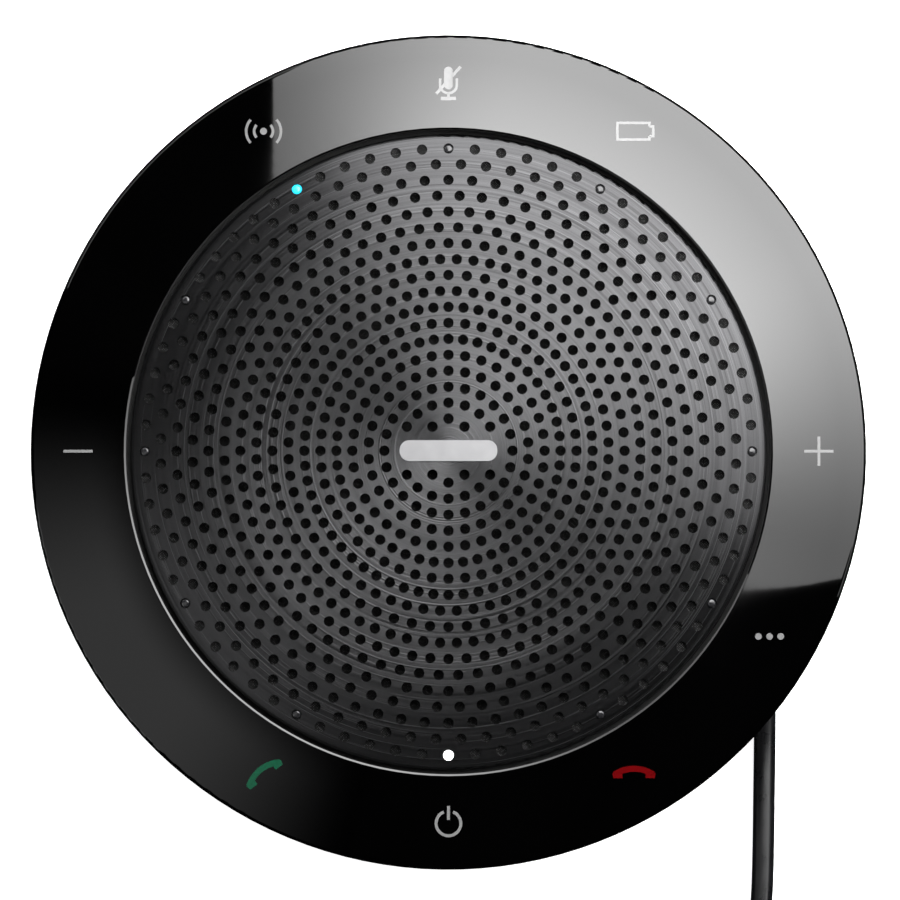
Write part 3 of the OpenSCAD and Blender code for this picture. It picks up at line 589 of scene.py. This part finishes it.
FINISHES = {
    "gloss_black": ring_gloss(),
    "grille_metal": spun_metal(),
    "badge_metal": plated("badge_satin", (0.17, 0.17, 0.173), 0.34),
    "mesh_cloth": cloth_with_painted_highlights(),
    "light_clear": glossy("pipe_unlit", (0.012, 0.012, 0.013), 0.15),
    "light_cyan": lit("pipe_cyan", (0.02, 0.62, 0.86), 1.1),
    "light_white": lit("pipe_white", (1.0, 1.0, 1.0), 4.0),
    "case_black": moulded("case_black", (0.018, 0.018, 0.019), 0.46),
    "base_black": moulded("base_black", (0.015, 0.015, 0.016), 0.52),
    "foot_rubber": rubbery("foot_rubber", (0.022, 0.022, 0.022)),
    "frame_grey": moulded("frame_grey", (0.06, 0.06, 0.065), 0.55),
    "screw_steel": plated("screw_zinc", (0.58, 0.58, 0.6), 0.3),
    "basket_steel": moulded("basket_paint", (0.03, 0.03, 0.033), 0.4, 1500),
    "plate_steel": plated("plate_zinc", (0.56, 0.56, 0.57), 0.34),
    "magnet": moulded("ferrite", (0.055, 0.055, 0.058), 0.6, 1400, 0.05),
    "coil_copper": wound("copper_winding", (0.75, 0.33, 0.16), 0.2 * MM),
    "spider_cloth": woven("spider_cloth", (0.5, 0.32, 0.1), 0.5 * MM, 0.8, 0.3),
    "cone_paper": woven("cone_paper", (0.03, 0.03, 0.032), 0.8 * MM, 0.8, 0.3),
    "surround_rubber": rubbery("surround_rubber", (0.018, 0.018, 0.018), 0.5),
    "gasket_foam": rubbery("gasket_foam", (0.03, 0.03, 0.03), 0.9),
    "mic_rubber": rubbery("mic_rubber", (0.022, 0.022, 0.022)),
    "mic_metal": plated("mic_can", (0.66, 0.63, 0.55), 0.3),
    "board_green": circuit(),
    "switch_black": moulded("switch_black", (0.05, 0.05, 0.053), 0.5),
    "led_body": glossy("led_body", (0.7, 0.68, 0.5), 0.2),
    "key_white": moulded("key_natural", (0.62, 0.62, 0.6), 0.5),
    "ribbon_amber": glossy("ribbon_film", (0.55, 0.22, 0.03), 0.25),
    "chip_black": moulded("chip_black", (0.02, 0.02, 0.022), 0.55, 4000),
    "shield_tin": plated("shield_tin", (0.66, 0.66, 0.67), 0.26),
    "socket_cream": moulded("socket_cream", (0.66, 0.61, 0.48), 0.5),
    "battery_wrap": glossy("battery_wrap", (0.03, 0.08, 0.26), 0.3),
    "wire_red": rubbery("wire_red", (0.38, 0.015, 0.012), 0.45),
    "jack_black": glossy("jack_black", (0.01, 0.01, 0.01), 0.3),
    "cord_black": cord_sheath(),
    "tie_black": woven("tie_strap", (0.02, 0.02, 0.02), 0.45 * MM, 0.9, 0.5),
    "plug_black": moulded("plug_grip", (0.014, 0.014, 0.015), 0.5),
    "plug_steel": plated("plug_nickel", (0.72, 0.71, 0.69), 0.2),
    "plug_white": moulded("plug_tongue", (0.75, 0.75, 0.72), 0.45),
    "contact_gold": plated("contact_gold", (0.83, 0.58, 0.2), 0.2),
}


def paint(obj, slot):
    obj.data.materials.clear()
    obj.data.materials.append(FINISHES[slot].material)


for part in frame["record"]["subparts"]:
    paint(NODES[part["node"]], part["material_slot"])
for piece in [cord, *shaped]:
    paint(piece, piece["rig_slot"])

# ---------- Printed key symbols ----------

PRINT_T = 0.03 * MM


def ink(name, colour):
    """Print under the gloss, with a slightly uneven edge of colour."""
    f = Finish(name, colour, 0.06)
    return f.mottle(f.noise(1500), 0.08).rough(f.noise(200), 0.02)


INKS = {
    "pale": ink("ink_pale", (0.13, 0.13, 0.13)),
    "red": ink("ink_red", (0.07, 0.001, 0.0015)),
    "green": ink("ink_green", (0.0003, 0.038, 0.017)),
}


def arc(centre, r, start, end, count=24):
    """Points on an arc, in millimetres, by angle in degrees."""
    step = (end - start) / count
    return [Vector(centre) + polar(r, start + step * i) for i in range(count + 1)]


def band(points, width, closed=False):
    """Quads along a line of points, as wide as a pen."""
    points = [Vector(p) for p in points]
    count = len(points)
    edges = []
    for i, p in enumerate(points):
        before = points[i - 1] if closed or i else p
        after = points[(i + 1) % count] if closed or i < count - 1 else p
        ahead, behind = (after - p), (p - before)
        ahead = ahead.normalized() if ahead.length > 1e-9 else behind.normalized()
        behind = behind.normalized() if behind.length > 1e-9 else ahead
        side = Vector((-(ahead + behind).y, (ahead + behind).x)).normalized()
        reach = width / 2 / max(0.4, side.dot(Vector((-ahead.y, ahead.x))))
        edges.append((p + side * reach, p - side * reach))
    last = count if closed else count - 1
    return [
        [edges[i][0], edges[i][1], edges[(i + 1) % count][1], edges[(i + 1) % count][0]]
        for i in range(last)
    ]


def mute_symbol():
    capsule = arc((0, 1.55), 0.64, 0, 180, 12) + arc((0, -0.45), 0.64, 180, 360, 12)
    holder = [(1.2, 0.5), *arc((0, -0.45), 1.2, 0, -180, 20), (-1.2, 0.5)]
    return [
        capsule,
        *band(holder, 0.36),
        *band([(0, -1.6), (0, -2.2)], 0.36),
        *band([(-1.1, -2.4), (1.1, -2.4)], 0.5),
        *band([(-1.75, -1.7), (1.75, 2.2)], 0.42),
    ]


def battery_symbol():
    w, h, nub = 2.3, 1.2, 0.7
    case = [(w, nub), (w, h), (-w, h), (-w, -h), (w, -h), (w, -nub)]
    tip = [(w, nub), (w + 0.55, nub), (w + 0.55, -nub), (w, -nub)]
    return [*band(case, 0.36), *band(tip, 0.36)]


def plus_symbol():
    half, pen = 2.1, 0.4
    return [
        *band([(-half, 0), (half, 0)], pen),
        *band([(0, pen / 2), (0, half)], pen),
        *band([(0, -pen / 2), (0, -half)], pen),
    ]


def minus_symbol():
    return band([(-2.1, 0), (2.1, 0)], 0.4)


def power_symbol():
    return [*band(arc((0, -0.2), 1.77, 112, 428, 40), 0.42), *band([(0, 0.3), (0, 2.3)], 0.42)]


def end_call_symbol():
    """A handset lying down."""
    back = arc((0, -4.6), 5.1, 123, 57, 20)
    return [
        *band(back, 0.85),
        [(-2.95, -0.85), (-3.1, -0.15), (-2.45, 0.2), (-1.65, -0.2), (-1.65, -0.85)],
        [(2.95, -0.85), (1.65, -0.85), (1.65, -0.2), (2.45, 0.2), (3.1, -0.15)],
    ]


def answer_symbol():
    """A handset standing on its mouthpiece and leaning right."""
    turn = math.radians(38)
    tilted = []
    for outline in end_call_symbol():
        tilted.append([
            Vector((p[0] * math.cos(turn) - p[1] * math.sin(turn),
                    p[0] * math.sin(turn) + p[1] * math.cos(turn)))
            for p in outline
        ])
    return tilted


def wireless_symbol():
    """A dot with two waves on each side."""
    waves = []
    for r in (1.35, 2.5):
        waves += band(arc((0, 0), r, -42, 42, 14), 0.38)
        waves += band(arc((0, 0), r, 138, 222, 14), 0.38)
    return [arc((0, 0), 0.5, 0, 345, 23), *waves]


def shortcut_symbol():
    """Three dots in a row."""
    return [arc((x, 0), 0.48, 0, 345, 23) for x in (-1.6, 0, 1.6)]


def print_symbol(name, angle, outlines, colour):
    """A thin print that follows the ring's crown."""
    centre = polar(KEY_R, angle)
    mesh = bpy.data.meshes.new(name)
    bm = bmesh.new()
    for outline in outlines:
        spots = [centre + Vector(p) * MM for p in outline]
        rims = []
        for lift in (PRINT_T, -PRINT_T):
            rims.append([
                bm.verts.new((s.x, s.y, crown_height(s.length) + lift)) for s in spots
            ])
        bm.faces.new(rims[0])
        for i in range(len(spots)):
            j = (i + 1) % len(spots)
            bm.faces.new((rims[0][j], rims[0][i], rims[1][i], rims[1][j]))
    bmesh.ops.recalc_face_normals(bm, faces=bm.faces)
    bm.to_mesh(mesh)
    bm.free()
    piece = bpy.data.objects.new(name, mesh)
    bpy.context.scene.collection.objects.link(piece)
    mesh.materials.append(INKS[colour].material)
    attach(piece, "root")
    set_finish(piece, "print_" + colour)


for name, angle, outlines, colour in (
    ("print_mute", 90, mute_symbol(), "pale"),
    ("print_battery", 60, battery_symbol(), "pale"),
    ("print_volume_up", 0, plus_symbol(), "pale"),
    ("print_shortcut", 330, shortcut_symbol(), "pale"),
    ("print_end_call", 300, end_call_symbol(), "red"),
    ("print_power", 270, power_symbol(), "pale"),
    ("print_answer", 240, answer_symbol(), "green"),
    ("print_volume_down", 180, minus_symbol(), "pale"),
    ("print_wireless", 120, wireless_symbol(), "pale"),
):
    print_symbol(name, angle, outlines, colour)

# ---------- Floor and light ----------

CARD_Z = 0.45
CARD_REACH = 0.65


def mirrored(x, y, height=CARD_Z):
    """Where the sight line to the ring at (x, y) goes once the gloss has turned it."""
    r = math.hypot(x, y)
    lean = math.asin((r - CROWN_AT_R) / CROWN_R)
    normal = Vector((x / r * math.sin(lean), y / r * math.sin(lean), math.cos(lean)))
    spot = Vector((x, y, crown_height(r)))
    sight = (spot - CAMERA_AT).normalized()
    away = sight - 2 * sight.dot(normal) * normal
    return spot + away * ((height - spot.z) / away.z)


MIRROR_CENTRE = (mirrored(CROWN_AT_R, 0) + mirrored(-CROWN_AT_R, 0)) / 2


def stage_mesh(name, faces, material, hidden=True):
    """Flat faces that aren't part of the object, seen only by their light."""
    mesh = bpy.data.meshes.new(name)
    corners = [tuple(corner) for face in faces for corner in face]
    starts = [sum(len(face) for face in faces[:i]) for i in range(len(faces))]
    rings = [tuple(range(s, s + len(face))) for s, face in zip(starts, faces)]
    mesh.from_pydata(corners, [], rings)
    mesh.materials.append(material)
    card = bpy.data.objects.new(name, mesh)
    bpy.context.scene.collection.objects.link(card)
    card.visible_camera = not hidden
    card.visible_shadow = not hidden
    return card


def glow(name, brightness):
    """An emitting card. brightness is a function that makes its strength."""
    f = Nodes(name)
    f.tree.nodes.remove(f.tree.nodes["Principled BSDF"])
    parts = f.node("SeparateXYZ", Vector=f.place)
    x = f.maths("SUBTRACT", parts.outputs["X"], MIRROR_CENTRE.x)
    y = f.maths("SUBTRACT", parts.outputs["Y"], MIRROR_CENTRE.y)
    emission = f.node("Emission", Strength=brightness(f, x, y))
    f.tree.links.new(emission.outputs[0], f.tree.nodes["Material Output"].inputs["Surface"])
    return f.material


def bearing_off(f, x, y, middle):
    """Degrees between a point's bearing and the middle one."""
    c, s = math.cos(math.radians(middle)), math.sin(math.radians(middle))
    along = f.maths("ADD", f.maths("MULTIPLY", x, c), f.maths("MULTIPLY", y, s))
    aside = f.maths("SUBTRACT", f.maths("MULTIPLY", y, c), f.maths("MULTIPLY", x, s))
    return f.maths("ABSOLUTE", f.maths("DEGREES", f.maths("ARCTAN2", aside, along)))


def key_brightness(f, x, y):
    """Brightest in the middle, and fading to both sides and outwards."""
    wide = f.smooth_spread(bearing_off(f, x, y, 54), 14.8, 3.6, 24, 70)
    return f.maths("MULTIPLY", wide, f.spread(f.far_off(x, y), 1.0, 0.76, 10 * MM, 120 * MM))


def key_light():
    """A large soft box over the upper right. Its two sides are placed so that the ring
    shows them at x = left and from front_inner to front_outer."""
    left = -25.2 * MM
    front_inner, front_outer = Vector((42.3, -19.9)) * MM, Vector((57.1, -18.0)) * MM
    inner, outer = 46.4 * MM, 58.4 * MM
    steps = 12
    left_side = []
    front_side = []
    for i in range(steps + 1):
        r = inner + (outer - inner) * i / steps
        left_side.append(mirrored(left, math.sqrt(r**2 - left**2)))
        x = math.sqrt(r**2 - (19 * MM) ** 2)
        share = (x - front_inner.x) / (front_outer.x - front_inner.x)
        rise = share * abs(share) * (front_outer.y - front_inner.y)
        front_side.append(mirrored(x, front_inner.y + rise))
    for side in (left_side, front_side):
        side.append(side[-1] + (side[-1] - side[-2]).normalized() * CARD_REACH * 0.8)
    start = math.degrees(math.atan2(*((front_side[-1] - MIRROR_CENTRE).yx)))
    end = math.degrees(math.atan2(*((left_side[-1] - MIRROR_CENTRE).yx)))
    far = [
        MIRROR_CENTRE + polar(CARD_REACH, start + (end - start) * i / 24).to_3d()
        for i in range(1, 24)
    ]
    outline = left_side[::-1] + front_side + far
    stage_mesh("key_light", [outline], glow("key_light", key_brightness))


def fill_light():
    """A weak card over the lower left, fading towards its sides and its near end."""
    corners = [MIRROR_CENTRE + polar(CARD_REACH, 168 + 4 * i).to_3d() for i in range(23)]

    def brightness(f, x, y):
        wide = f.smooth_spread(bearing_off(f, x, y, 214), 1.0, 0.0, 8, 42)
        return f.maths("MULTIPLY", wide, f.smooth_spread(f.far_off(x, y), 0.08, 0.8, 0, 80 * MM))

    stage_mesh("fill_light", [[MIRROR_CENTRE, *corners]], glow("fill_light", brightness))


def edge_light():
    """A long strip low over the far right, which lights the bevel round the grille."""
    far, low, high = 0.7, math.radians(26), math.radians(37)
    first, width, count = -18, 10.8, 16
    faces = []
    for i in range(count):
        a, b = first + width * i, first + width * (i + 1)
        face = []
        for bearing, rise in ((a, low), (b, low), (b, high), (a, high)):
            flat = polar(far * math.cos(rise), bearing)
            face.append((flat.x, flat.y, far * math.sin(rise)))
        faces.append(face)
    stage_mesh("edge_light", faces, glow("edge_light", key_brightness))


def side_lights():
    """Two weak soft boxes that show the sides of the case. Only the left one is
    mirrored in gloss."""
    for name, bearing, rise, power, mirrored_in_gloss in (
        ("left", 205, 22, 1.6, True), ("right", -62, 14, 1.2, False),
    ):
        data = bpy.data.lights.new("side_" + name, "AREA")
        data.shape = "RECTANGLE"
        data.size, data.size_y = 0.7, 0.35
        data.energy = power
        light = bpy.data.objects.new("side_" + name, data)
        bpy.context.scene.collection.objects.link(light)
        flat = polar(1.0, bearing)
        light.location = (flat.x, flat.y, math.tan(math.radians(rise)))
        light.rotation_mode = "QUATERNION"
        light.rotation_quaternion = (-light.location).to_track_quat("-Z", "Y")
        light.visible_camera = False
        light.visible_glossy = mirrored_in_gloss


def floor():
    """A plain white table that stays white in every view."""
    half = 3.0
    z = -0.05 * MM
    f = Finish("floor", (0.82, 0.82, 0.82), 0.7)
    f.mottle(f.noise(3), 0.02)
    f.shader.inputs["Emission Color"].default_value = (1, 1, 1, 1)
    f.shader.inputs["Emission Strength"].default_value = 0.9
    corners = [(-half, -half, z), (half, -half, z), (half, half, z), (-half, half, z)]
    table = stage_mesh("floor", [corners], f.material, hidden=False)
    # A black gloss edge seen from above would show the bright table as a pale line
    table.visible_glossy = False


def surroundings():
    world = bpy.data.worlds.new("studio")
    bpy.context.scene.world = world
    world.use_nodes = True
    background = world.node_tree.nodes["Background"]
    background.inputs["Color"].default_value = (1, 1, 1, 1)
    background.inputs["Strength"].default_value = 0.004


key_light()
fill_light()
edge_light()
side_lights()
floor()
surroundings()
bpy.context.scene.view_settings.view_transform = "Standard"
bpy.context.scene.view_settings.look = "None"
